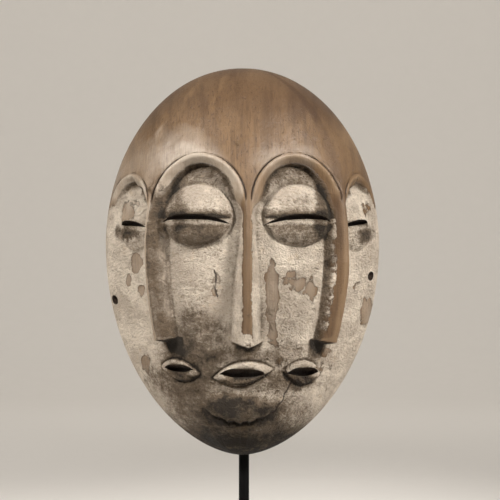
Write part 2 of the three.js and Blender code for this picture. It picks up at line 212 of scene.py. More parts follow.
def mound(across, up, fullness):
    return np.maximum(0.0, 1 - across * across - up * up) ** fullness


def eye_rise(face_angle, z, eye):
    across = (np.abs(face_angle) - eye.angle) / eye.half_angle
    up = (z - eye.level) / eye.half_height
    return eye.rise * mound(across, up, 0.55)


def lip_place(angle, z, lip):
    """Place across a pair of lips, -1 to 1 between its corners, and height over its middle line."""
    offset = (angle - lip.angle) * ARC_PER_DEGREE * LIP_ARC
    return offset / lip.half_width, z - lip.level - lip.tilt * offset


def lip_rise(angle, z, lip):
    """Lips over a lens with pointed ends, dipping again towards the opening."""
    across, up = lip_place(angle, z, lip)
    left = np.where(np.abs(across) < 1, (1 - across * across) ** 2 - (up / lip.half_height) ** 2, 0.0)
    left = np.maximum(0.0, left)
    return lip.rise * left**0.38 * (1 - 0.55 * smooth(0.3, 0.95, left))


def lip_marks(angle, z):
    """Where a lower lip lies, and the line incised round each pair of lips, both 0 to 1."""
    shade, line = np.zeros((2, *np.shape(angle)))
    for lip in LIPS:
        across, up = lip_place(angle, z, lip)
        shade = np.maximum(shade, clamp(lip_rise(angle, z, lip) / 2.0) * smooth(-0.5, -4.5, up))
        outside = np.abs(up) - np.maximum(0.0, 1 - across * across) * lip.half_height
        line = np.maximum(line, bell(outside - 0.7, 0.8) * (np.abs(across) < 1.05))
    return shade, line


def chin_edge(angle):
    across = (angle - CHIN_LEDGE.angle) * ARC_PER_DEGREE * CHIN_ARC / CHIN_LEDGE.half_width
    fade = 1 - smooth(0.7, 1.1, np.abs(across))
    return CHIN_LEDGE.level + CHIN_LEDGE.sweep * across * across, fade


def chin_rise(angle, z):
    edge, fade = chin_edge(angle)
    edge = edge + 0.7 * np.sin(angle * 0.7) + 0.25 * np.sin(angle * 1.9 + 1.0)
    body = smooth(edge - 0.6, edge + 0.6, z) * (1 - smooth(edge + 6, edge + 26, z))
    gouge = 2.2 + 1.8 * np.sin(angle * 1.3) * np.sin(angle * 0.47 + 2.0)
    return fade * (CHIN_LEDGE.rise * body - gouge * bell(z - edge + 1.1, 1.2))


def brow_groove(face_angle, z):
    """The thin line incised along the top of each brow band, 0 to 1."""
    bay, _ = bay_fields(face_angle, z)
    side = np.abs(face_angle)
    high = smooth(BROW_FOOT - 6, BROW_FOOT + 4, z)
    centre = np.where(side < NOSE_ANGLE, 23.3, OUTER_EYE.angle)
    ends = smooth(4, 17, np.abs(side - centre))
    return bell(bay - 0.2, 0.7) * high * (0.55 + 0.45 * ends)


def brow_band(face_angle, z):
    """Swelling of the band between each incised line and its eye socket, in millimetres."""
    bay, _ = bay_fields(face_angle, z)
    high = smooth(BROW_FOOT - 2, BROW_FOOT + 10, z)
    return 1.1 * high * bell(bay - 3.4, 2.2)


def cut_distance(angle, z):
    """Distance outside the edge of the nearest opening, in millimetres."""
    nearest = np.full(np.shape(angle), FAR_AWAY)
    for cut_angle, level, half_width, over, under, bluntness in CUTS:
        across = (angle - cut_angle) * ARC_PER_DEGREE / (half_width * 1.04)
        lens = 1 - np.abs(across) ** bluntness
        up = z - level
        outside = np.maximum(up - over * lens, -under * lens - up)
        outside = np.where(np.abs(across) < 1, outside, FAR_AWAY)
        nearest = np.minimum(nearest, outside)
    return nearest


def lid_edge(angle, z):
    """The upper lids overhang their slits, and each lower lid starts with a narrow raised rim."""
    edge = np.zeros(np.shape(angle))
    for cut_angle, level, half_width, over, under, bluntness in CUTS[:4]:
        across = np.abs(angle - cut_angle) * ARC_PER_DEGREE / half_width
        ends = 1 - smooth(0.8, 1.08, across)
        lens = np.maximum(0.0, 1 - across**bluntness)
        upper = np.exp(-np.maximum(0.0, z - level - over * lens) / 4.5) * (z > level)
        below = level - under * lens - z
        lower = bell(below - 0.6, 1.3) - 1.1 * bell(below - 5.0, 3.0)
        edge = edge + ends * (1.3 * upper + 0.9 * lower)
    return edge


def relief(angle, z):
    """Height of the carving over the plain egg, in millimetres."""
    face_angle = angle - FACE_TURN
    noses = smooth(-NOSE_UNDERSIDE, 0.0, z - nose_bottom(face_angle))
    rim_fade = 1 - smooth(56, 85, np.abs(angle))
    depth = FACE_RECESS * clamp((z - RECESS_START) / (NOSE_BOTTOM - RECESS_START)) * rim_fade
    in_faces = np.where(z < BROW_TOP, mix(1.0, recess_share(face_angle, z), noses), 0.0)
    tip = noses * (1 - smooth(NOSE_BOTTOM, BROW_FOOT, z)) * (1 - in_faces)
    tip_rise = np.where(np.abs(face_angle) < 20, CENTRE_TIP_RISE, SIDE_TIP_RISE * rim_fade)
    height = tip * tip_rise - depth * in_faces
    eyes = eye_rise(face_angle, z, INNER_EYE) + eye_rise(face_angle, z, OUTER_EYE) * rim_fade
    height = height + eyes * in_faces + lid_edge(angle, z)
    for lip in LIPS:
        height = height + lip_rise(angle, z, lip)
    height = height + chin_rise(angle, z)
    height = height + (brow_band(face_angle, z) - SCORE_DEPTH * brow_groove(face_angle, z)) * rim_fade
    height = height - BRIM_DIP * bell(np.maximum(0.0, cut_distance(angle, z)), 0.8)
    return height - LIP_LINE_DEPTH * lip_marks(angle, z)[1]


# Upper edge of the clay beside the outer eyes: level of its ends, rise of the arch and its half angle
CLAY_FOOT, CLAY_RISE, CLAY_SPAN = 184.0, 33.5, 26.0
# Places where bare wood carries a grey film, over the brows partly a painted highlight, or, below 0, has
# darkened, on the forehead's top and upper sides as painted shade: front view x, level, half width, half
# height, strength
FILM_AND_LIGHT_PLACES = (
    (-44, 226, 26, 12, 0.6), (-48, 240, 22, 16, 0.35), (38, 226, 26, 12, 0.35), (52, 244, 14, 16, 0.3),
    (-86, 222, 20, 34, 0.35), (80, 226, 14, 30, 0.25), (0, 296, 100, 40, -0.5), (84, 238, 46, 56, -0.42),
    (-92, 262, 34, 30, -0.3), (-19, 137, 4, 11, 0.5),
)
# Worn places where bare wood shows, laid out the same way
WORN_PLACES = (
    (22.5, 124, 4.6, 27, 1), (25, 92, 8, 8, 0.45), (38, 138, 9, 7, 0.5), (45, 130, 7, 7, 0.45),
    (53, 130, 3.5, 10, 0.6), (-80, 149, 4.4, 8.5, 1), (-87, 136, 2.6, 5, 0.9), (-76.5, 127, 3, 4.5, 0.85),
    (-88, 168, 3, 4, 0.6), (95.5, 112, 4.5, 11, 0.85), (88, 130, 3, 6, 0.5), (-74, 71, 3.5, 9, 0.6),
    (-62, 60, 7, 5, 0.35), (64, 82, 4, 3, 0.7), (-19, 134, 3.6, 11, 0.55), (-88, 186, 5, 5, 0.8),
    (-84, 194, 7, 4, 0.45), (94, 190, 5, 5, 0.5), (30, 74, 7, 6, 0.45), (62, 70, 8, 6, 0.4),
    (66, 55, 7, 5, 0.3), (14, 47, 10, 5, 0.35),
)
# Jagged split that runs down from the right mouth, and the gouge on the left cheek
CRACKS = (
    ((37.5, 60), (34.5, 54), (32, 50.5), (31, 45), (26.5, 41), (24.5, 36.5), (20.5, 34.5)),
    ((32.5, 69), (33.5, 65.5), (35.5, 62)), ((37.5, 62), (40.5, 58)), ((42, 61), (45.5, 56.5)),
    ((47, 61.5), (48.5, 57)), ((51.5, 61.5), (53.5, 58)),
    ((-21, 144), (-19.5, 138), (-19.8, 131), (-18, 124)),
)
# Pale rubbed lines on the forehead
RUBS = (
    ((-33, 290), (-41, 276), (-48.5, 262)), ((-15, 291), (-20, 277), (-25, 260)), ((-58, 262), (-64, 244)),
)
# Dirt and smoke stain, laid out like the worn places; the strongest places, at the chin's underside and its
# ledge, are partly painted shade
MOST_STAIN_AND_SHADE = 1.6
STAIN_AND_SHADE_PLACES = (
    (33.5, 65.5, 2.4, 5, 1), (-4.5, 239, 3.6, 4.6, 0.3), (-64, 205, 7, 11, 0.6), (42, 195, 12, 6, 0.25),
    (0, 79, 20, 7, 0.5), (-34, 92, 24, 22, 0.7), (-52, 78, 13, 9, 0.4), (-41, 86, 7, 9, 0.3),
    (60, 78, 10, 7, 0.5), (34, 82, 15, 8, 0.5), (-28, 142, 24, 40, 0.3), (-28, 70, 12, 12, 0.55),
    (25, 68, 10, 12, 0.45), (2, 56, 44, 11, 0.5), (-1, 36, 27, 11.5, 1.35), (-34, 34, 22, 18, 0.8),
    (36, 32, 20, 16, 0.65), (0, 0, 60, 22, 1.5), (-62, 54, 20, 24, 0.35), (28, 108, 22, 16, 0.35),
    (40, 96, 12, 14, 0.12), (44, 58.5, 9, 4, 0.4), (-50, 60, 20, 12, 0.5), (50, 60, 18, 8, 0.35),
    (-90, 172, 8, 6, 0.8), (96, 172, 6, 7, 0.6), (-48, 190, 6, 20, 0.55), (60, 186, 5, 20, 0.7),
)


def stations(start, stretches):
    """Positions from a start through marked ends, each stretch in equal steps of about a stated length."""
    places = [start]
    for end, step in stretches:
        count = max(1, round((end - places[-1]) / step))
        places.extend(np.linspace(places[-1], end, count + 1)[1:])
    return np.array(places)


def carved_noise(points, wavelength, seed):
    """Smooth three-dimensional noise at each point, from -1 to 1."""
    shift = Vector((seed * 17.3, seed * 5.1, seed * 9.7))
    return np.array([noise.noise(Vector(p) / wavelength + shift) for p in points])


def outer_points(angle, z, height):
    half_width, depth = egg_section(z, 0.0, HEIGHT, HALF_WIDTH, DEPTH)
    turn = np.radians(angle)
    return np.stack([(half_width + height) * np.sin(turn), -(depth + height) * np.cos(turn), z], axis=-1)


def inner_points(angle, z):
    """The hollow: a smaller egg whose section narrows towards the front."""
    low, high = RIM_THICKNESS, HEIGHT - RIM_THICKNESS
    level = mix(low, high, z / HEIGHT)
    inside = DEPTH - FACE_RECESS - WALL_THICKNESS
    half_width, depth = egg_section(level, low, high, HALF_WIDTH - RIM_THICKNESS, inside)
    turn = np.radians(angle)
    forward = np.maximum(0.0, np.cos(turn)) ** 1.2
    return np.stack([half_width * np.sin(turn), -depth * forward, level], axis=-1)


def pole_fade(z, length):
    return smooth(0.0, length, z) * smooth(HEIGHT, HEIGHT - length, z)


def carved_height(angle, z, unevenness):
    """Relief with the unevenness of knife work added, in millimetres."""
    height = relief(angle, z) * pole_fade(z, 4.0)
    flat = outer_points(angle, z, height).reshape(-1, 3)
    hand = sum(share * carved_noise(flat, wave, seed) for seed, (share, wave) in enumerate(KNIFE_WORK, 1))
    rim_fade = 1 - 0.85 * smooth(58, 84, np.abs(angle))
    return height + unevenness * hand.reshape(np.shape(angle)) * pole_fade(z, 14.0) * rim_fade


def quads_between(near, far, flip):
    """Quads between two rows of vertex numbers that run side by side."""
    quads = np.stack([near[:-1], near[1:], far[1:], far[:-1]], axis=-1)
    return quads[:, ::-1] if flip else quads


def mask_shell(unevenness):
    """Vertices and faces of the closed shell, in millimetres from the chin."""
    # Rows and columns lie closer where the carving is finer: end and step of each stretch
    rows = stations(0.0, (
        (1.2, 0.4), (4, 0.8), (12, 1.4), (23, 1.8), (40, 0.62), (56, 1.2), (104, 0.84), (232, 0.98),
        (250, 1.8), (285, 2.6), (296, 1.6), (299, 0.9), (HEIGHT, 0.34),
    ))
    columns = stations(-88.9, [(end + FACE_TURN, step) for end, step in (
        (-52, 0.98), (-36, 0.56), (-8, 0.64), (8, 0.42), (36, 0.64), (52, 0.56),
        (88.9 - FACE_TURN, 0.98),
    )])
    inner_columns = stations(-88.0, ((88.0, 5.0),))
    angle, z = np.meshgrid(columns, rows)
    outer = outer_points(angle, z, carved_height(angle, z, unevenness))
    inner_angle, inner_z = np.meshgrid(inner_columns, rows)
    inner = inner_points(inner_angle, inner_z)
    # Flat rim with rounded edges: share of the way across it and how much of the neighbour's depth is left
    rim_steps = ((0.03, 0.28), (0.12, 0.0), (0.5, 0.0), (0.88, 0.0), (0.965, 0.3))
    count = len(rows)
    vertices = [outer.reshape(-1, 3), inner.reshape(-1, 3)]
    total = outer.shape[0] * outer.shape[1]
    outer_index = np.arange(total).reshape(count, -1)
    inner_index = total + np.arange(inner.shape[0] * inner.shape[1]).reshape(count, -1)
    total += inner_index.size
    faces = []
    for grid, flip in ((outer_index, False), (inner_index, True)):
        faces += [quads_between(near, far, flip) for near, far in zip(grid, grid[1:])]
    for column, flip in ((0, False), (-1, True)):
        rings = [outer_index[:, column]]
        start, end = outer[:, column], inner[:, column]
        for share, lift in rim_steps:
            ring = mix(start, end, share)
            ring[:, 1] = lift * (start[:, 1] if share < 0.5 else end[:, 1])
            vertices.append(ring)
            rings.append(total + np.arange(count))
            total += count
        rings.append(inner_index[:, column])
        faces += [quads_between(near, far, flip) for near, far in zip(rings, rings[1:])]
    return np.concatenate(vertices), np.concatenate(faces)


def to_mesh(work, mesh):
    """Writes the worked geometry to a mesh, or to a new one where a name is handed in."""
    mesh = bpy.data.meshes.new(mesh) if isinstance(mesh, str) else mesh
    work.to_mesh(mesh)
    work.free()
    return mesh


def plain_mesh(name, vertices, faces):
    """A mesh from vertices in metres; coincident vertices are welded."""
    mesh = bpy.data.meshes.new(name)
    mesh.from_pydata([tuple(v) for v in vertices], [], [tuple(f) for f in faces])
    work = bmesh.new()
    work.from_mesh(mesh)
    bmesh.ops.remove_doubles(work, verts=work.verts, dist=2e-6)
    bmesh.ops.dissolve_degenerate(work, edges=work.edges, dist=1e-7)
    return to_mesh(work, mesh)


def to_frame(points):
    """Millimetres from the chin to metres in the frame."""
    return (np.asarray(points) + MASK_PLACE) * MM


def prism(name, outline, axes, start, length):
    """A closed prism over an outline, as a mesh object in the frame."""
    across, up, along = (np.array(axis) for axis in axes)
    ring = np.array([start + across * x + up * y for x, y in outline])
    points = np.concatenate([ring, ring + along * length])
    count = len(outline)
    faces = [tuple(range(count))[::-1], tuple(range(count, 2 * count))]
    faces += [(i, (i + 1) % count, count + (i + 1) % count, count + i) for i in range(count)]
    mesh = plain_mesh(name, to_frame(points), faces)
    work = bmesh.new()
    work.from_mesh(mesh)
    bmesh.ops.recalc_face_normals(work, faces=work.faces)
    return new_object(name, to_mesh(work, mesh))


def new_object(name, mesh):
    piece = bpy.data.objects.new(name, mesh)
    bpy.context.scene.collection.objects.link(piece)
    return piece


def opening_cutters():
    """One slanted lens prism for each eye and mouth, and a round one for each cord hole."""
    cutters = []
    for number, (angle, level, half_width, over, under, bluntness) in enumerate(CUTS):
        turn = math.radians(angle)
        where = np.array([angle]), np.array([level])
        start = outer_points(*where, relief(*where))[0]
        level_out = np.array([math.sin(turn), -math.cos(turn), 0.0])
        outward = math.cos(CUT_SLOPE) * level_out + np.array([0.0, 0.0, math.sin(CUT_SLOPE)])
        across = np.array([math.cos(turn), math.sin(turn), 0.0])
        up = np.cross(outward, across)
        steps = np.linspace(-1, 1, 41)
        lens = [(t * half_width, -under * (1 - abs(t) ** bluntness)) for t in steps]
        lens += [(t * half_width, over * (1 - abs(t) ** bluntness)) for t in steps[-2:0:-1]]
        start = start - CUT_BEHIND * outward
        cutters.append(prism(f"cut_{number}", lens, (across, up, outward), start, CUT_LENGTH))
    turns = np.linspace(0, 2 * math.pi, 40, endpoint=False)
    circle = [(math.cos(t) * CORD_HOLE_DIAMETER / 2, math.sin(t) * CORD_HOLE_DIAMETER / 2) for t in turns]
    for side, angle, level in CORD_HOLES:
        where = np.array([side * angle]), np.array([level])
        start = outer_points(*where, relief(*where))[0] - np.array([side * 2 * RIM_THICKNESS, 0, 0])
        axes = ((0, 1, 0), (0, 0, 1), (side, 0, 0))
        cutters.append(prism(f"cord_hole_{side}", circle, axes, start, CUT_BEHIND))
    return cutters


def cut_away(piece, cutters, operation="DIFFERENCE"):
    """Cuts the tools out of a piece, or joins them to it, and removes the tools."""
    for tool in cutters:
        modifier = piece.modifiers.new(tool.name, "BOOLEAN")
        modifier.operation = operation
        modifier.solver = "MANIFOLD"
        modifier.object = tool
    apply_modifiers(piece)
    for tool in cutters:
        bpy.data.objects.remove(tool)


def apply_modifiers(piece):
    bpy.context.view_layer.update()
    evaluated = piece.evaluated_get(bpy.context.evaluated_depsgraph_get())
    mesh = bpy.data.meshes.new_from_object(evaluated)
    piece.modifiers.clear()
    piece.data = mesh


def locate(points):
    """Angle and height over the egg of points in millimetres from the chin."""
    x, y, z = points.T
    half_width, depth = egg_section(z, 0.0, HEIGHT, HALF_WIDTH, DEPTH)
    half_width, depth = np.maximum(half_width, 0.5), np.maximum(depth, 0.5)
    height = np.hypot(x, y) - np.hypot(half_width, depth) / math.sqrt(2)
    height = np.maximum(height, 0.05 - np.minimum(half_width, depth))
    for _ in range(12):
        a, b = half_width + height, depth + height
        value = (x / a) ** 2 + (y / b) ** 2 - 1
        slope = -2 * (x * x / a**3 + y * y / b**3)
        height = np.maximum(height - value / np.minimum(slope, -1e-9), 0.05 - np.minimum(half_width, depth))
    angle = np.degrees(np.arctan2(x / (half_width + height), -y / (depth + height)))
    return angle, height


def blurred(field, steps_down, steps_across):
    """A field after a Gaussian blur of the given widths in grid steps."""
    for axis, steps in ((0, steps_down), (1, steps_across)):
        reach = int(3 * steps) + 1
        kernel = np.exp(-0.5 * (np.arange(-reach, reach + 1) / steps) ** 2)
        kernel /= kernel.sum()
        pad = [(reach, reach) if a == axis else (0, 0) for a in (0, 1)]
        padded = np.pad(field, pad, mode="edge")
        field = np.apply_along_axis(np.convolve, axis, padded, kernel, mode="valid")
    return field


def lookup(grid, angle, z, angles, levels):
    """Bilinear reading of a grid at angles and levels."""
    column = np.clip((angle - angles[0]) / (angles[1] - angles[0]), 0, len(angles) - 1.001)
    row = np.clip((z - levels[0]) / (levels[1] - levels[0]), 0, len(levels) - 1.001)
    i, j = row.astype(int), column.astype(int)
    v, u = row - i, column - j
    low, high = (grid[k, j] * (1 - u) + grid[k, j + 1] * u for k in (i, i + 1))
    return low * (1 - v) + high * v


def blob_sum(places, x, z, cap):
    """Sum of soft elliptical places in the front view."""
    total = np.zeros(np.shape(x))
    for centre_x, level, half_width, half_height, strength in places:
        radius = np.hypot((x - centre_x) / half_width, (z - level) / half_height)
        total = total + strength * (1 - smooth(0.55, 1.5, radius))
    return np.minimum(total, cap)


def line_distance(lines, x, z):
    """Distance in the front view to the nearest of several broken lines."""
    nearest = np.full(np.shape(x), 9.0)
    for line in lines:
        for (x0, z0), (x1, z1) in zip(line, line[1:]):
            dx, dz = x1 - x0, z1 - z0
            t = clamp(((x - x0) * dx + (z - z0) * dz) / (dx * dx + dz * dz))
            nearest = np.minimum(nearest, np.hypot(x - x0 - t * dx, z - z0 - t * dz))
    return nearest


def pigment_cover(angle, z):
    """Where the white pigment lies, 0 on bare wood to 1 on limed wood."""
    face_angle, side, bay = face_place(angle, z)
    on_arc = smooth(BROW_FOOT - 14, BROW_FOOT + 6, z)
    under_brow = smooth(7.0, 13.0, bay)
    from_crest, _ = bay_fields(face_angle + STRIP_SHIFT, z)
    tip = 0.9 * smooth(NOSE_BOTTOM + 20, NOSE_BOTTOM + 4, z)
    centre_flank = np.maximum(smooth(-3.0, 4.4, from_crest), tip)
    residue = np.where(face_angle < 0, 0.25, mix(0.1, 0.58, smooth(3.5, 5.5, bay)))
    side_flank = np.maximum(smooth(9.0, 12.0, bay), residue * smooth(1.0, 3.0, bay))
    beyond = side > OUTER_EYE.angle
    arch = np.sqrt(np.maximum(0.0, 1 - ((side - OUTER_EYE.angle) / CLAY_SPAN) ** 2))
    outer_edge = np.where(beyond, CLAY_FOOT + CLAY_RISE * arch, HEIGHT) - z
    outer_flank = np.where(beyond, smooth(-1.0, 2.0, outer_edge), smooth(-0.2, 0.8, bay))
    beside = np.where(side < 20, centre_flank, np.where(side < NOSE_ANGLE, side_flank, outer_flank))
    faces = mix(beside, under_brow, on_arc)
    faces = np.where(z > BROW_TOP, 0.0, faces)
    below = smooth(-0.5, -2.5, z - nose_bottom(face_angle))
    return mix(faces, 1.0, below)


def film_and_light_cover(angle, z, x, ragged_z):
    """Bare wood's patina and painted light, from 1 for a thin grey film, which over the brows and on the left
    brow band is also a painted highlight, to -1 for wood darkened with age, which on the forehead's top and
    upper sides is painted shade.
    """
    face_angle, side, bay = face_place(angle, z)
    high = smooth(BROW_FOOT - 8, BROW_FOOT + 10, z)
    # Painted highlight on the left brow band over a grey film; the right band gets only a little film
    band = high * smooth(0.5, 2.5, bay) * np.where(face_angle < 0, 1.0, 0.15)
    left = face_angle < 0
    beside = (side > 34) * (side < NOSE_ANGLE + 1) * (1 - high)
    flank = beside * np.where(left, 1.1 * smooth(-2.0, 0.0, bay), -0.12 * smooth(1.0, 3.5, bay))
    from_crest, _ = bay_fields(face_angle + STRIP_SHIFT, z)
    crest = mix(-0.5, 0.5, smooth(0.5, 3.0, from_crest)) * smooth(8.0, 4.0, side) * (1 - high)
    crest = crest - 0.3 * smooth(40.0, 43.0, face_angle) * smooth(50.0, 47.0, face_angle)
    rubs = 0.35 * bell(line_distance(RUBS, x, ragged_z), 1.7)
    return np.clip(band + flank + crest + rubs + blob_sum(FILM_AND_LIGHT_PLACES, x, ragged_z, 0.8), -1.0, 1.0)


def lid_share(side, z, eye):
    """How far up a lid points lie, 0 outside it to 1 at its middle."""
    return mound((side - eye.angle) / eye.half_angle, (z - eye.level) / eye.half_height, 0.3)


def flank_darkening(face_angle, side, z, bay):
    """Darkening along the two side noses, where they face the centre."""
    ridge = (0.42 + 0.6 * (1 - smooth(3.0, 9.0, bay))) * smooth(-1.8, 0.4, bay)
    inner = (0.15 + 0.75 * smooth(4.5, 9.0, bay)) * smooth(1.0, 3.0, bay)
    flank = np.where(face_angle < 0, ridge, inner) * (1 - smooth(10.5, 14.0, bay))
    return flank * smooth(34, 37, side) * (side < NOSE_ANGLE) * smooth(NOSE_BOTTOM - 4, NOSE_BOTTOM + 2, z)


def stain_and_shade(angle, z, x, ragged_z):
    """Dirt and smoke stain, with painted shade on the lids, under the brow bands and on the lower lips, and
    painted shadow under the noses, from 0 up to its cap.
    """
    face_angle, side, bay = face_place(angle, z)
    high = smooth(BROW_FOOT - 8, BROW_FOOT + 10, z)
    over_slit = z - EYE_LEVEL
    inner_lid, outer_lid = (lid_share(side, z, eye) for eye in (INNER_EYE, OUTER_EYE))
    on_lid = smooth(0.15, 0.6, inner_lid)
    # Lids: dirt and painted shade over the lower lids, which face down, and across the upper lids a brown
    # tone with painted shade, strongest along their edges over the slits
    lids = 0.85 * on_lid * smooth(-3.0, -6.5, over_slit)
    lids = lids + 0.5 * smooth(0.15, 0.6, outer_lid) * smooth(-3.0, -8.0, z - OUTER_EYE.level)
    lids = lids + (0.33 + 0.5 * smooth(9.0, 3.0, over_slit)) * on_lid * (over_slit > 0)
    # Under the brow bands and on the socket floors beside the lids: olive dirt, and painted shade where the
    # bands overhang
    under_brow = 0.8 * high * smooth(6.5, 10.0, bay) * (1 - smooth(9.0, 21.0, bay))
    off_lid = 1 - smooth(0.1, 0.5, inner_lid)
    socket = 0.62 * smooth(6.0, 10.0, bay) * smooth(200, 212, z) * off_lid * (side < NOSE_ANGLE)
    crests = 0.45 * smooth(2.0, -1.0, bay) * smooth(BROW_FOOT, BROW_FOOT - 25, z)
    crests = crests * (z > NOSE_BOTTOM - 2) * (side < 60)
    edges = 0.7 * bell(np.maximum(0.0, cut_distance(angle, z)), 1.6)
    on_lips = clamp(sum(lip_rise(angle, z, lip) for lip in LIPS) / 2.0)
    lip_shade, lip_line = lip_marks(angle, z)
    # Lips: stain over the lips and in the line round them; on the lower lips painted shade, partly stain,
    # darker towards their undersides
    lips = 0.3 * on_lips + lip_shade + 0.3 * lip_line
    # Painted shadow under each nose's overhang, darkest under the side noses
    drop = nose_bottom(face_angle) - z
    beside = smooth(34.5, 38.0, side) * smooth(NOSE_ANGLE + 2.0, NOSE_ANGLE - 1.0, side)
    under_nose = smooth(-0.3, 0.9, drop) * np.exp(-np.maximum(drop, 0.0) / 4.6)
    under_nose = under_nose * (4.6 * beside + 1.1 * smooth(9.0, 6.0, side))
    blobs = blob_sum(STAIN_AND_SHADE_PLACES, x, ragged_z, MOST_STAIN_AND_SHADE) * (1 - 0.6 * on_lips)
    flank = flank_darkening(face_angle, side, z, bay) * (1 - high)
    total = np.maximum(under_brow, socket) + lids + flank + edges + crests + under_nose + lips + blobs
    return np.minimum(MOST_STAIN_AND_SHADE, total + 0.9 * brow_groove(face_angle, z))


def paint_fields(mesh):
    """Stores what the wood's finish needs to know at each vertex, and which faces are cut through."""
    count = len(mesh.vertices)
    points = np.empty(count * 3)
    mesh.vertices.foreach_get("co", points)
    points = points.reshape(-1, 3) / MM - MASK_PLACE
    angle, height = locate(points)
    x, z = points[:, 0], points[:, 2]
    angles, levels = np.arange(-92, 92.1, 0.5), np.arange(-2, HEIGHT + 2.1, 1.0)
    grid_angle, grid_z = np.meshgrid(angles, levels)
    plain = relief(grid_angle, grid_z) * pole_fade(grid_z, 4.0)
    near = blurred(plain, 2.6, 3.0) - plain
    wide = blurred(plain, 9.0, 10.0) - plain
    drift_x, drift_z = (
        2.6 * carved_noise(points, 9.0, seed) + 1.2 * carved_noise(points, 3.5, seed + 1) for seed in (5, 7)
    )
    ragged_x, ragged_z = x + drift_x, z + 1.3 * drift_z
    fields = {
        "cavity": lookup(np.clip(near / 1.6, -1, 1), angle, z, angles, levels),
        "hollowness": lookup(np.clip(wide / 5.0, -1, 1), angle, z, angles, levels),
        "pigment": pigment_cover(angle, z + 0.3 * drift_z),
        "worn": blob_sum(WORN_PLACES, ragged_x, ragged_z, 1.0),
        "film_and_light": film_and_light_cover(angle, z, ragged_x, ragged_z) + 0.55 * blob_sum(WORN_PLACES, x, z, 1.0),
        "stain_and_shade": stain_and_shade(angle, z, ragged_x, ragged_z),
        "groove": brow_groove(angle - FACE_TURN, z),
        "crack": line_distance(CRACKS, x + 0.4 * drift_x, z) / 9.0,
    }
    depth_in = lookup(plain, angle, z, angles, levels) - height
    inside = smooth(2.2, 3.6, depth_in)
    inside = np.where((z < 1.5) | (z > HEIGHT - 1.5), 0.0, inside)
    fields["inside"] = inside
    for name, values in fields.items():
        layer = mesh.attributes.new(name, "FLOAT", "POINT")
        layer.data.foreach_set("value", values.astype(np.float32))
    centres = np.array([p.center for p in mesh.polygons]) / MM - MASK_PLACE
    centre_angle, centre_height = locate(centres)
    sunk = lookup(plain, centre_angle, centres[:, 2], angles, levels) - centre_height
    layer = mesh.attributes.new("cut", "FLOAT", "FACE")
    layer.data.foreach_set("value", smooth(1.8, 3.0, sunk).astype(np.float32))


def linear(hex_colour):
    """An sRGB hex colour as linear red, green and blue."""
    parts = [int(hex_colour[i:i + 2], 16) / 255 for i in (1, 3, 5)]
    return tuple(p / 12.92 if p <= 0.04045 else ((p + 0.055) / 1.055) ** 2.4 for p in parts)


def colour(hex_colour):
    return (*linear(hex_colour), 1.0)


def fill(tree, node, inputs):
    """Links or sets a node's inputs."""
    for key, value in inputs.items():
        if isinstance(value, bpy.types.NodeSocket):
            tree.links.new(value, node.inputs[key])
        else:
            node.inputs[key].default_value = value


def add(tree, kind, settings=None, inputs=None):
    """Adds a node, sets its properties, and fills or links its inputs."""
    node = tree.nodes.new(kind)
    for name, value in (settings or {}).items():
        setattr(node, name, value)
    fill(tree, node, inputs or {})
    return node


class Finish:
    """A node material in the making; colours go by their names in the panel."""

    def __init__(self, name):
        self.material = bpy.data.materials.new(name)
        self.material.use_nodes = True
        self.tree = self.material.node_tree
        self.tree.nodes.clear()
        self.shader = self.add("ShaderNodeBsdfPrincipled")
        self.add("ShaderNodeOutputMaterial", None, {"Surface": self.shader.outputs["BSDF"]})
        self.place = self.add("ShaderNodeTexCoord").outputs["Object"]

    def add(self, kind, settings=None, inputs=None):
        return add(self.tree, kind, settings, inputs)

    def field(self, name):
        return self.add("ShaderNodeAttribute", {"attribute_name": name}).outputs["Fac"]

    def mapped(self, stretch, turn=(0.0, 0.0, 0.0)):
        inputs = {"Vector": self.place, "Scale": stretch, "Rotation": turn}
        return self.add("ShaderNodeMapping", None, inputs).outputs["Vector"]

    def noise_at(self, scale, detail, roughness=0.6, stretch=(1.0, 1.0, 1.0), turn=(0.0, 0.0, 0.0), swirl=0):
        return self.add("ShaderNodeTexNoise", None, {
            "Vector": self.mapped(stretch, turn), "Scale": scale, "Detail": detail, "Roughness": roughness,
            "Distortion": float(swirl),
        }).outputs["Fac"]

    def maths(self, operation, *values):
        node = self.add("ShaderNodeMath", {"operation": operation}, dict(enumerate(values)))
        return node.outputs["Value"]

    def plus(self, first, second):
        return self.maths("ADD", first, second)

    def times(self, first, second):
        return self.maths("MULTIPLY", first, second)

    def scaled(self, value, factor, offset):
        return self.maths("MULTIPLY_ADD", value, factor, offset)

    def highest(self, first, second):
        return self.maths("MAXIMUM", first, second)

    def ramp(self, value, low, high, start=0.0, end=1.0, kind="SMOOTHSTEP"):
        return self.add("ShaderNodeMapRange", {"interpolation_type": kind}, {
            "Value": value, "From Min": low, "From Max": high, "To Min": start, "To Max": end,
        }).outputs["Result"]

    def blend(self, share, first, second, mode="MIX"):
        colours = bpy.context.scene.mask_colours
        tones = (colour(getattr(colours, c)) if isinstance(c, str) else c for c in (first, second))
        inputs = dict(zip((0, 6, 7), (share, *tones)))
        return self.add("ShaderNodeMix", {"data_type": "RGBA", "blend_type": mode}, inputs).outputs[2]

    def close(self, inputs, level=None, strength=1.0, distance=MM):
        """Fills the shader's inputs and bumps the surface where it has a height."""
        if level is not None:
            bump = {"Strength": strength, "Distance": distance, "Height": level}
            inputs["Normal"] = self.add("ShaderNodeBump", None, bump).outputs["Normal"]
        fill(self.tree, self.shader, inputs)
        return self.material


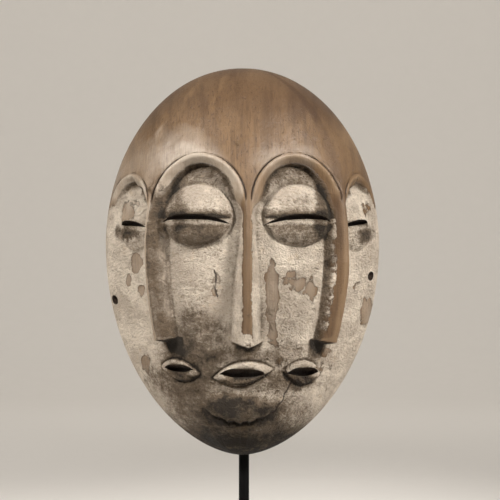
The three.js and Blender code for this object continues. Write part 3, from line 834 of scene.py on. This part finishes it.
def limed_hardwood():
    """Pale hardwood rubbed with white clay.

    The clay gives a chalky, grainy, broken white on the face planes, laid on in short brushed strokes. Bare
    wood on the brow, crests and worn places is a dull brown with fine upright grain and a low sheen from
    handling. Smoke and dirt gather in the hollows. Shade under the brows, on the lids and lower lips and at
    the chin is painted into the colour, with painted shadow under the noses, near-black painted shade in the
    openings and painted highlights over the brows.
    """
    finish = Finish("Clay-limed carved hardwood")
    noise_at, ramp, blend, plus = finish.noise_at, finish.ramp, finish.blend, finish.plus
    times, scaled, highest = finish.times, finish.scaled, finish.highest
    cavity, hollowness, pigment, worn, film_and_light_field, stained_and_shaded, groove, near_crack, inside, cut = map(finish.field, (
        "cavity", "hollowness", "pigment", "worn", "film_and_light", "stain_and_shade", "groove", "crack", "inside", "cut",
    ))

    # Wood: grain 1 mm and 7 mm wide and many times as long, handling patches 40 mm across, pores as dark
    # upright ticks
    fine_grain = noise_at(1000.0, 3.0, 0.6, (1.0, 0.2, 0.035), (0.0, 0.05, 0.0))
    broad_grain = noise_at(140.0, 4.0, 0.6, (1.0, 0.12, 0.05), (0.0, 0.05, 0.0), 0.2)
    patches = noise_at(26.0, 3.0)
    pores = ramp(noise_at(800.0, 2.0, 0.5, (1.0, 0.5, 0.2)), 0.62, 0.69)
    # Clay: losses 7 mm across with ragged edges, clouds 20 mm across, brushed strokes 3 mm wide, grit 1.5 mm
    losses = noise_at(140.0, 8.0, 0.7)
    clouds = noise_at(48.0, 5.0, 0.65)
    strokes = noise_at(280.0, 4.0, 0.62, (0.75, 0.75, 1.0), (0.0, 0.7, 0.0), 1.2)
    grit = noise_at(660.0, 4.0, 0.7)

    # How much clay is left: less on crests and worn places, more in shallow hollows
    cover = plus(scaled(losses, 1.3, -0.75), pigment)
    cover = scaled(cavity, 0.22, scaled(worn, -0.95, cover))
    clay = ramp(scaled(grit, 0.2, plus(cover, -0.1)), 0.4, 0.5)

    wood = blend(ramp(broad_grain, 0.3, 0.62, 0.3, 1.0), "wood_dark", "wood_mid")
    wood = blend(ramp(fine_grain, 0.5, 0.34, 0.0, 0.5), wood, "wood_dark")
    wood = blend(ramp(patches, 0.45, 0.7, 0.0, 0.18), wood, "wood_pale")
    wood = blend(times(pores, 0.5), wood, "wood_pore_and_shade")
    wood = blend(ramp(cavity, -0.05, -0.7, 0.0, 0.5), wood, "wood_pale")
    # Grey film on bare wood, and painted highlights over the brows and on the left brow band
    film_and_light = times(film_and_light_field, ramp(scaled(fine_grain, 0.4, clouds), 0.5, 0.8, 0.6, 1.1))
    wood = blend(film_and_light, wood, "film_and_light")
    # Darker bare wood where the field is below 0: on the centre crest, and painted shade on the forehead's
    # top and upper sides
    wood = blend(ramp(film_and_light_field, 0.0, -1.0, 0.0, 0.8), wood, "wood_pore_and_shade")

    white = blend(ramp(clouds, 0.4, 0.62), "clay_thin", "clay_white")
    white = blend(ramp(losses, 0.55, 0.7, 0.0, 0.5), white, "clay_yellow")
    white = blend(ramp(strokes, 0.5, 0.32, 0.0, 0.3), white, "clay_grey")
    white = blend(ramp(grit, 0.46, 0.3, 0.0, 0.6), white, "clay_grey")
    surface = blend(clay, wood, white)

    # Dirt and smoke, with the painted shade and shadow that the stain field carries, broken up by the clay's
    # own patterns
    dirt_and_shade = scaled(hollowness, 0.15, scaled(cavity, 0.35, plus(stained_and_shaded, -0.12)))
    mottle = scaled(clouds, 1.1, 0.45)
    for pattern, share in ((losses, -0.9), (strokes, -0.6), (grit, -0.5)):
        mottle = scaled(pattern, share, mottle)
    dirt_and_shade = scaled(mottle, ramp(stained_and_shaded, 0.0, 0.7, 0.5, 1.4), dirt_and_shade)
    surface = blend(ramp(dirt_and_shade, 0.0, 0.9, 0.0, 0.88), surface, "stain_and_shade")
    # Near black where dirt and shade are heaviest: painted shadow under the noses, dirt with painted shade at
    # the chin
    surface = blend(ramp(dirt_and_shade, 0.8, 1.45, 0.0, 0.92), surface, "soot_and_shadow")
    crack = ramp(scaled(losses, 0.2, near_crack), 0.2, 0.15)
    scored = highest(crack, ramp(groove, 0.35, 0.8))
    surface = blend(times(scored, 0.8), surface, "groove")

    # Bare hollow: facets of a gouge 14 mm across, smoke-brown; the walls cut through for the openings are
    # near black, smoke-darkened wood with painted shade
    gouged = finish.add("ShaderNodeTexVoronoi", {"feature": "SMOOTH_F1"}, {
        "Vector": finish.mapped((1.0, 1.0, 0.45)), "Scale": 70.0, "Smoothness": 0.35,
    }).outputs["Distance"]
    hollow = blend(ramp(fine_grain, 0.35, 0.65), "hollow", "hollow_pale")
    hollow = blend(ramp(gouged, 0.35, 0.65, 0.0, 0.45), hollow, "hollow")
    bare = highest(inside, cut)
    # Walls of the openings: near black, smoke-darkened wood with painted shade
    surface = blend(times(cut, 0.9), blend(bare, surface, hollow), "groove")

    roughness = scaled(clay, 0.4, ramp(patches, 0.3, 0.7, 0.4, 0.52))
    roughness = highest(scaled(film_and_light_field, -0.12, roughness), ramp(dirt_and_shade, 0.0, 0.8, 0.0, 0.65))
    roughness = highest(roughness, times(bare, 0.8))

    # Heights in millimetres: clay stands proud in brushed, gritty strokes; grain and pores are finer
    outside = finish.maths("SUBTRACT", 1.0, inside)
    crust = highest(clay, ramp(dirt_and_shade, 0.2, 0.9, 0.0, 0.8))
    lumps = times(scaled(strokes, 5.2, scaled(grit, 3.6, 0.1)), scaled(crust, 0.9, 0.1))
    lumps = scaled(times(gouged, inside), 2.4, times(lumps, outside))
    grain = scaled(fine_grain, 0.12, times(pores, -0.2))
    level = plus(plus(lumps, grain), times(times(scored, outside), -0.8))
    return finish.close({
        "Base Color": surface, "Roughness": roughness, "IOR": 1.45, "Specular IOR Level": 0.45,
    }, level, 0.9)


def blackened_steel():
    """Bar and plate steel under satin black paint: an even, faintly pebbled, low sheen."""
    finish = Finish("Satin black painted steel")
    # Pebble of the sprayed paint about 0.8 mm across, and soft wear of the sheen about 30 mm across
    pebble, wear = finish.noise_at(1200.0, 2.0, 0.5), finish.noise_at(32.0, 5.0, 0.5)
    tone = finish.blend(finish.ramp(wear, 0.5, 0.8, 0.0, 0.35, "LINEAR"), "steel", "steel_dust")
    sheen = finish.ramp(wear, 0.3, 0.7, 0.5, 0.66, "LINEAR")
    inputs = {"Base Color": tone, "Roughness": sheen, "Specular IOR Level": 0.1}
    return finish.close(inputs, pebble, 0.25, 0.1 * MM)


def plain_backdrop():
    """Matt paper sweep: pale, with no pattern that draws the eye."""
    finish = Finish("Matt backdrop paper")
    pale = colour(bpy.context.scene.stage_settings.paper)
    tone = finish.blend(0.03, pale, finish.noise_at(60.0, 3.0, 0.5), "MULTIPLY")
    return finish.close({"Base Color": tone, "Roughness": 0.95, "Specular IOR Level": 0.1})


def coat(piece, material):
    piece.data.materials.clear()
    piece.data.materials.append(material)


def build_mask(settings):
    vertices, faces = mask_shell(settings.unevenness / MM)
    piece = new_object("carved_mask", plain_mesh("carved_mask", to_frame(vertices), faces))
    cut_away(piece, opening_cutters())
    mesh = piece.data
    paint_fields(mesh)
    mesh.shade_smooth()
    mesh.set_sharp_from_angle(angle=SHARP_CARVING)
    coat(piece, limed_hardwood())
    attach(piece, "root")
    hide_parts("mask")
    return piece


def ceiling_level(x, y):
    """Highest level inside the hollow at a place across and in front of the rim plane."""
    low, high = WIDEST_LEVEL, HEIGHT
    for _ in range(40):
        middle = np.array([(low + high) / 2])
        widest = inner_points(np.array([90.0]), middle)[0][0]
        angle = np.degrees(np.arcsin(np.clip(x / widest, -1, 1)))
        inside = abs(x) < widest and -inner_points(np.array([angle]), middle)[0][1] > -y
        low, high = (float(middle[0]), high) if inside else (low, float(middle[0]))
    return float(mix(RIM_THICKNESS, HEIGHT - RIM_THICKNESS, low / HEIGHT))


def crossbar_points(settings):
    """Middle line of the crossbar, just under the hollow's ceiling, in millimetres from the rim plane."""
    half_span, reach, step = settings.crossbar_span / 2 / MM, settings.crossbar_reach / MM, 0.5
    points = []
    for x in np.linspace(-half_span, half_span, 17):
        mask_x = x - CENTRE_X
        top = ceiling_level(mask_x, -reach)
        slope_x = (ceiling_level(mask_x + step, -reach) - top) / step
        slope_y = (ceiling_level(mask_x, -reach - step) - top) / -step
        down = Vector((slope_x, slope_y, -1)).normalized()
        points.append(Vector((x, -reach, top)) + down * (settings.crossbar_diameter / 2 / MM + 0.8))
    return points


def swept_bar_tree():
    """Geometry Nodes tree that sweeps a round bar along a curve."""
    tree = bpy.data.node_groups.new("Swept round bar", "GeometryNodeTree")
    for name, kind, direction in (
        ("Path", "NodeSocketGeometry", "INPUT"), ("Bar diameter", "NodeSocketFloat", "INPUT"),
        ("Bar sides", "NodeSocketInt", "INPUT"), ("Bar material", "NodeSocketMaterial", "INPUT"),
        ("Bar", "NodeSocketGeometry", "OUTPUT"),
    ):
        tree.interface.new_socket(name=name, in_out=direction, socket_type=kind)
    given = add(tree, "NodeGroupInput").outputs
    radius = add(tree, "ShaderNodeMath", {"operation": "MULTIPLY"}, {0: given["Bar diameter"], 1: 0.5})
    section = add(tree, "GeometryNodeCurvePrimitiveCircle", None, {
        "Resolution": given["Bar sides"], "Radius": radius.outputs[0],
    })
    swept = add(tree, "GeometryNodeCurveToMesh", None, {
        "Curve": given["Path"], "Profile Curve": section.outputs["Curve"], "Fill Caps": True,
    })
    real = add(tree, "GeometryNodeRealizeInstances", None, {"Geometry": swept.outputs["Mesh"]})
    painted = add(tree, "GeometryNodeSetMaterial", None, {
        "Geometry": real.outputs["Geometry"], "Material": given["Bar material"],
    })
    add(tree, "NodeGroupOutput", None, {"Bar": painted.outputs["Geometry"]})
    return tree


def swept_bar(name, tree, points, diameter, sides, material):
    """A round bar along points in metres, as a plain mesh object."""
    curve = bpy.data.curves.new(name, "CURVE")
    curve.dimensions = "3D"
    spline = curve.splines.new("POLY")
    spline.points.add(len(points) - 1)
    for place, point in zip(spline.points, points):
        place.co = (*point, 1.0)
    path = new_object(name + "_path", curve)
    modifier = path.modifiers.new("bar", "NODES")
    modifier.node_group = tree
    values = {"Bar diameter": diameter, "Bar sides": sides, "Bar material": material}
    for item in tree.interface.items_tree:
        if item.in_out == "INPUT" and item.name in values:
            modifier[item.identifier] = values[item.name]
    bpy.context.view_layer.update()
    mesh = bpy.data.meshes.new_from_object(path.evaluated_get(bpy.context.evaluated_depsgraph_get()))
    bpy.data.objects.remove(path)
    work = bmesh.new()
    work.from_mesh(mesh)
    bmesh.ops.remove_doubles(work, verts=work.verts, dist=1e-6)
    bmesh.ops.recalc_face_normals(work, faces=work.faces)
    return new_object(name, to_mesh(work, mesh))


def bezier(points, share):
    """A point on the cubic curve through four control points."""
    a, b, c, d = points
    rest = 1 - share
    return a * rest**3 + b * 3 * rest**2 * share + c * 3 * rest * share**2 + d * share**3


def build_rod(settings, material):
    """The upright, its bend into the hollow and the crossbar under the brow, welded into one piece."""
    tree = swept_bar_tree()
    shift = Vector((0, RIM_Y, CHIN_Z))
    crossbar = [(p + shift) * MM for p in crossbar_points(settings)]
    meeting = crossbar[len(crossbar) // 2]
    back = RIM_Y * MM + settings.rod_diameter / 2 + settings.fit_clearance
    rise = settings.bend_rise
    foot = Vector((0, back, ROD_LOW.z))
    start = Vector((0, back, meeting.z - rise))
    leaving = Vector((0, back, start.z + rise * 0.5))
    controls = (start, leaving, Vector((0, meeting.y, meeting.z - rise * 0.55)), meeting)
    upright = [foot] + [bezier(controls, i / 32) for i in range(33)]
    rod = swept_bar("stand_bar", tree, upright, settings.rod_diameter, 48, material)
    bar = swept_bar("crossbar", tree, crossbar, settings.crossbar_diameter, 40, material)
    # Rounded ends: balls a touch slimmer than the bar, so that no two faces coincide
    for end in (crossbar[0], crossbar[-1]):
        inward = (meeting - end).normalized()
        cap = bmesh.new()
        radius = settings.crossbar_diameter / 2 * 0.995
        bmesh.ops.create_uvsphere(cap, u_segments=40, v_segments=20, radius=radius)
        bmesh.ops.translate(cap, verts=cap.verts, vec=end + inward * settings.crossbar_diameter * 0.02)
        cut_away(bar, [new_object("bar_end", to_mesh(cap, "bar_end"))], "UNION")
    cut_away(rod, [bar], "UNION")
    return rod


def build_base(settings, material):
    """The foot plate, with rounded edges and the blind hole that the rod stands in."""
    width, depth = BASE_HIGH.x - BASE_LOW.x, BASE_HIGH.y - BASE_LOW.y
    thick = BASE_HIGH.z - BASE_LOW.z
    work = bmesh.new()
    bmesh.ops.create_cube(work, size=1.0)
    bmesh.ops.scale(work, verts=work.verts, vec=(width, depth, thick))
    bmesh.ops.translate(work, verts=work.verts, vec=(BASE_LOW + BASE_HIGH) / 2)
    upright = [e for e in work.edges if abs(e.verts[0].co.z - e.verts[1].co.z) > thick / 2]
    rounding = {"profile": 0.5, "affect": "EDGES"}
    bmesh.ops.bevel(work, geom=upright, offset=settings.corner_radius, segments=10, **rounding)
    level = [e for e in work.edges if len(e.link_faces) == 2 and e.calc_face_angle() > 1.2]
    bmesh.ops.bevel(work, geom=level, offset=settings.edge_radius, segments=4, **rounding)
    plate = new_object("foot_plate", to_mesh(work, "foot_plate"))
    radius = settings.rod_diameter / 2 + settings.fit_clearance
    tool = bmesh.new()
    bmesh.ops.create_cone(
        tool, cap_ends=True, segments=64, radius1=radius, radius2=radius, depth=2 * settings.socket_depth,
    )
    centre_y = RIM_Y * MM + radius
    bmesh.ops.translate(tool, verts=tool.verts, vec=(0, centre_y, BASE_HIGH.z))
    cut_away(plate, [new_object("socket", to_mesh(tool, "socket"))])
    coat(plate, material)
    return plate


def soft_light(name, place, target, size, energy, white, spread):
    data = bpy.data.lights.new(name, "AREA")
    data.spread = spread
    data.shape = "DISK"
    data.size = size
    data.energy = energy
    data.color = linear(white)
    lamp = new_object(name, data)
    lamp.location = place
    lamp.visible_camera = False
    lamp.rotation_euler = (Vector(target) - Vector(place)).to_track_quat("-Z", "Y").to_euler()
    return lamp


def build_stage(settings):
    """Paper floor that curves up to a wall all round, soft lights, a dim surround and the camera."""
    floor_radius, bend, wall_top, sides = 2.4, 0.9, 2.2, 96
    profile = [(0.05, 0.0), (floor_radius, 0.0)]
    for turn in np.linspace(0.1, math.pi / 2, 16):
        profile.append((floor_radius + bend * math.sin(turn), bend * (1 - math.cos(turn))))
    profile.append((floor_radius + bend, wall_top))
    turns = np.linspace(0, 2 * math.pi, sides, endpoint=False)
    vertices = [
        (radius * math.cos(turn), radius * math.sin(turn), z) for radius, z in profile for turn in turns
    ]
    faces = [tuple(range(sides))]
    for low in range(0, sides * (len(profile) - 1), sides):
        for i in range(sides):
            after = (i + 1) % sides
            faces.append((low + i, low + sides + i, low + sides + after, low + after))
    sweep = new_object("paper_sweep", plain_mesh("paper_sweep", vertices, faces))
    sweep.data.shade_smooth()
    sweep.data.materials.append(plain_backdrop())

    target, open_wide = (0, -0.02, 0.24), math.pi
    beam, narrow = math.radians(settings.beam), math.radians(18)
    for light in (
        ("key_light", (1.3, -1.1, 1.35), target, 0.26, settings.key_power, SIDE_WHITE, beam),
        ("fill_light", (-1.4, -1.0, 1.3), target, 0.26, settings.fill_power, SIDE_WHITE, beam),
        ("front_light", (0.2, -2.4, 1.1), target, 0.8, settings.front_power, LAMP_WHITE, open_wide),
        ("back_light", (0.22, 2.3, 0.3), target, 0.3, settings.back_power, LAMP_WHITE, narrow),
        ("backdrop_light", (0, 1.3, 2.1), (0, 3.3, 0.5), 1.4, settings.backdrop_power, LAMP_WHITE, open_wide),
    ):
        soft_light(*light)

    world = bpy.data.worlds.new("surround")
    bpy.context.scene.world = world
    world.use_nodes = True
    backing = world.node_tree.nodes["Background"]
    backing.inputs["Color"].default_value = colour(SURROUND_WHITE)
    backing.inputs["Strength"].default_value = settings.surround

    data = bpy.data.cameras.new("photo_camera")
    data.sensor_width = 36.0
    data.lens = settings.lens
    camera = new_object("photo_camera", data)
    camera.location = (settings.camera_x, -settings.camera_distance, settings.camera_height)
    camera.rotation_euler = (math.pi / 2, 0, 0)
    bpy.context.scene.camera = camera
    bpy.context.scene.view_settings.view_transform = "Standard"


def length(name, description, default):
    return bpy.props.FloatProperty(
        name=name, description=description, default=default, min=0.0, precision=5, unit="LENGTH",
    )


def number(name, description, default, unit="NONE"):
    return bpy.props.FloatProperty(name=name, description=description, default=default, unit=unit)


def power(name, description, default):
    return number(name, description, default, "POWER")


def tint(name, description, default):
    return bpy.props.StringProperty(name=name, description=description, default=default)


class MaskSettings(bpy.types.PropertyGroup):
    """Sizes of the carving that a user may change"""

    unevenness: length("Unevenness", "Strength of the unevenness left by knife work", 0.001)


class StandSettings(bpy.types.PropertyGroup):
    """Sizes of the display stand"""

    rod_diameter: length("Rod diameter", "Diameter of the upright bar", 0.008)
    crossbar_diameter: length("Crossbar diameter", "Diameter of the bar under the brow", 0.006)
    crossbar_span: length("Crossbar span", "Width of the bar under the brow", 0.064)
    crossbar_reach: length("Crossbar reach", "How far the crossbar lies in front of the rim", 0.028)
    bend_rise: length("Bend rise", "Height of the rod's bend into the hollow", 0.06)
    fit_clearance: length("Fit clearance", "Gap round the rod in its socket", 0.0003)
    socket_depth: length("Socket depth", "Depth of the hole in the foot plate", 0.007)
    corner_radius: length("Corner radius", "Radius of the foot plate's corners", 0.0038)
    edge_radius: length("Edge radius", "Rounding of the foot plate's edges", 0.0008)


class MaskColours(bpy.types.PropertyGroup):
    """Colours of the finishes, as sRGB hex values"""

    wood_dark: tint("Dark grain", "Darkest streaks", "#493624")
    wood_mid: tint("Grain", "Common tone of the bare wood", "#6b543b")
    wood_pale: tint("Rubbed wood", "Bare wood on crests", "#8d765b")
    # Also the painted shade on the forehead's top and upper sides
    wood_pore_and_shade: tint("Pores and shade", "Open pores, and painted shade on bare wood", "#3a2719")
    clay_white: tint("White clay", "Thick clay", "#dbcfbe")
    clay_thin: tint("Thin clay", "Clay worn thin", "#b9ac9c")
    clay_grey: tint("Grey clay", "Dirty lows of the clay", "#877864")
    clay_yellow: tint("Aged clay", "Clay yellowed by oil", "#bda88c")
    # Also the colour of the painted highlights over the brows
    film_and_light: tint("Film and highlight", "Thin grey film on bare wood, and painted highlights over the brows", "#a29687")
    # Dirt and smoke, and the painted shade under the brows, on the lids and lower lips and under the noses
    stain_and_shade: tint("Stain and shade", "Smoke, dirt and painted shade", "#4c3a23")
    # Painted shadow under the noses, and dirt with painted shade at the chin
    soot_and_shadow: tint("Soot and shadow", "Painted shadow under the noses, darkest dirt and shade at the chin", "#1e170e")
    # Also the near-black walls of the openings: smoke-darkened wood with painted shade
    groove: tint("Grooves", "Cracks, scored lines, and painted shade in the openings", "#2a1d13")
    hollow: tint("Hollow", "Smoky wood of the hollow", "#4a3828")
    hollow_pale: tint("Hollow grain", "Paler grain in the hollow", "#765d49")
    steel: tint("Black paint", "Paint on the stand", "#030303")
    steel_dust: tint("Dust", "Dust on the stand", "#1c1b1a")


class StageSettings(bpy.types.PropertyGroup):
    """Light and camera"""

    paper: tint("Paper", "Colour of the sweep", "#e2dfda")
    key_power: power("Key light", "Power from the right", 3.1)
    fill_power: power("Fill light", "Power from the left", 2.3)
    front_power: power("Front light", "Weak power from the front", 2.0)
    back_power: power("Back light", "Power on the hollow side", 0.65)
    backdrop_power: power("Backdrop light", "Power on the backdrop", 30.0)
    beam: number("Beam", "Spread of the side lights in degrees", 40.0)
    surround: number("Surround", "Strength of the dim surround", 0.22)
    lens: number("Lens", "Focal length in millimetres", 203.9)
    camera_x: length("Camera across", "Camera place across", 0.0047)
    camera_distance: length("Camera distance", "Distance from the foot's centre", 2.17)
    camera_height: length("Camera height", "Height over the shelf", 0.244)


class CARVING_OT_carved_mask(bpy.types.Operator):
    """Carve the mask with its three merged faces and its hollow"""

    bl_idname = "carving.carved_mask"
    bl_label = "Carved mask"

    def execute(self, context):
        build_mask(context.scene.mask_settings)
        return {"FINISHED"}


class CARVING_OT_display_stand(bpy.types.Operator):
    """Make the rod with its crossbar, and the foot plate"""

    bl_idname = "carving.display_stand"
    bl_label = "Display stand"

    def execute(self, context):
        settings = context.scene.stand_settings
        steel = blackened_steel()
        for build, name, node, slot in (
            (build_rod, "rod_and_crossbar", "stand_rod", "rod_steel"),
            (build_base, "foot_plate", "stand_base", "base_steel"),
        ):
            piece = build(settings, steel)
            piece.name = name
            piece.data.shade_smooth()
            piece.data.set_sharp_from_angle(angle=SHARP_STEEL)
            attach(piece, "root")
            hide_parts(node)
        return {"FINISHED"}


class CARVING_OT_stage(bpy.types.Operator):
    """Set up the paper sweep, the lights and the camera"""

    bl_idname = "carving.stage"
    bl_label = "Stage"

    def execute(self, context):
        build_stage(context.scene.stage_settings)
        return {"FINISHED"}


OPERATORS = (CARVING_OT_carved_mask, CARVING_OT_display_stand, CARVING_OT_stage)
GROUPS = {
    "mask_settings": MaskSettings,
    "stand_settings": StandSettings,
    "mask_colours": MaskColours,
    "stage_settings": StageSettings,
}


class CARVING_PT_panel(bpy.types.Panel):
    """Lists the pieces and their settings"""

    bl_idname = "CARVING_PT_panel"
    bl_label = "Carved mask"
    bl_space_type = "VIEW_3D"
    bl_region_type = "UI"
    bl_category = "Carved mask"

    def draw(self, context):
        for operator in OPERATORS:
            self.layout.operator(operator.bl_idname)
        for group in GROUPS:
            settings = getattr(context.scene, group)
            box = self.layout.box()
            for name in settings.__annotations__:
                box.prop(settings, name)


def register():
    for group, kind in GROUPS.items():
        bpy.utils.register_class(kind)
        setattr(bpy.types.Scene, group, bpy.props.PointerProperty(type=kind))
    for kind in (*OPERATORS, CARVING_PT_panel):
        bpy.utils.register_class(kind)


def unregister():
    for kind in (CARVING_PT_panel, *reversed(OPERATORS)):
        bpy.utils.unregister_class(kind)
    for group, kind in reversed(GROUPS.items()):
        delattr(bpy.types.Scene, group)
        bpy.utils.unregister_class(kind)


def main():
    register()
    bpy.ops.carving.carved_mask()
    bpy.ops.carving.display_stand()
    bpy.ops.carving.stage()


if __name__ == "__main__":
    main()
